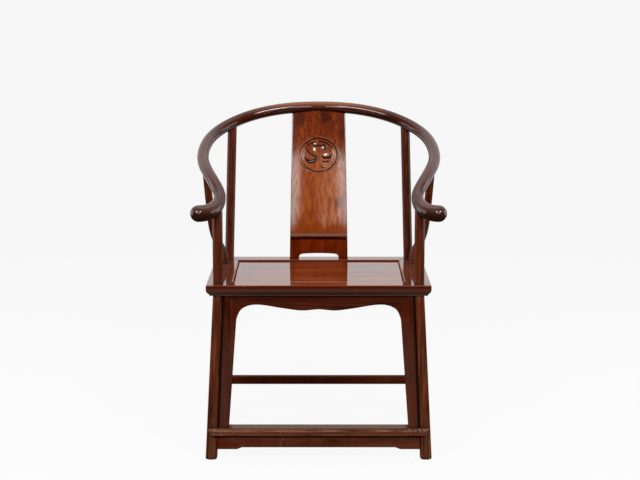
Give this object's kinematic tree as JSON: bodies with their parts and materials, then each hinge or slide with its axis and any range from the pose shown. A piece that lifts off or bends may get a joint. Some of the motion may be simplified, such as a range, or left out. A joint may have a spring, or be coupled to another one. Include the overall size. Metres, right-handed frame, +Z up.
{
  "type": "horseshoe back armchair",
  "caption": "Hardwood armchair with a horseshoe-shaped crest rail running down into curled hand grips, a carved back splat, a framed seat, arched aprons and a low footrest frame.",
  "frame": {"origin": "on the floor under the middle of the overall box; X = 0 is the chair's plane of symmetry", "axes": "+X to the sitter's left when seated, which is the right side seen from the front; +Y from the front edge to the back; +Z up"},
  "size_m": [0.6992, 0.6096, 0.9592],
  "materials": {
    "frame_wood": "polished",
    "splat_wood": "polished",
    "panel_wood": "polished"
  },
  "bodies": {
    "root": {"back_splat": "splat_wood", "crest_rail_centre": "frame_wood", "crest_rail_left_arm": "frame_wood", "crest_rail_left_shoulder": "frame_wood", "crest_rail_right_arm": "frame_wood", "crest_rail_right_shoulder": "frame_wood", "footrest": "frame_wood", "footrest_apron": "frame_wood", "front_apron": "frame_wood", "front_apron_left_strip": "frame_wood", "front_apron_right_strip": "frame_wood", "left_front_leg": "frame_wood", "left_panel_batten": "frame_wood", "left_rear_leg": "frame_wood", "left_side_apron": "frame_wood", "left_side_apron_front_strip": "frame_wood", "left_side_apron_rear_strip": "frame_wood", "left_side_post": "frame_wood", "left_stretcher": "frame_wood", "rear_apron": "frame_wood", "rear_stretcher": "frame_wood", "right_front_leg": "frame_wood", "right_panel_batten": "frame_wood", "right_rear_leg": "frame_wood", "right_side_apron": "frame_wood", "right_side_apron_front_strip": "frame_wood", "right_side_apron_rear_strip": "frame_wood", "right_side_post": "frame_wood", "right_stretcher": "frame_wood", "scarf_key_left_inner": "frame_wood", "scarf_key_left_outer": "frame_wood", "scarf_key_right_inner": "frame_wood", "scarf_key_right_outer": "frame_wood", "seat_front_rail": "frame_wood", "seat_left_rail": "frame_wood", "seat_panel": "panel_wood", "seat_rear_rail": "frame_wood", "seat_right_rail": "frame_wood", "splat_foot_apron": "splat_wood"}
  },
  "joints": []
}
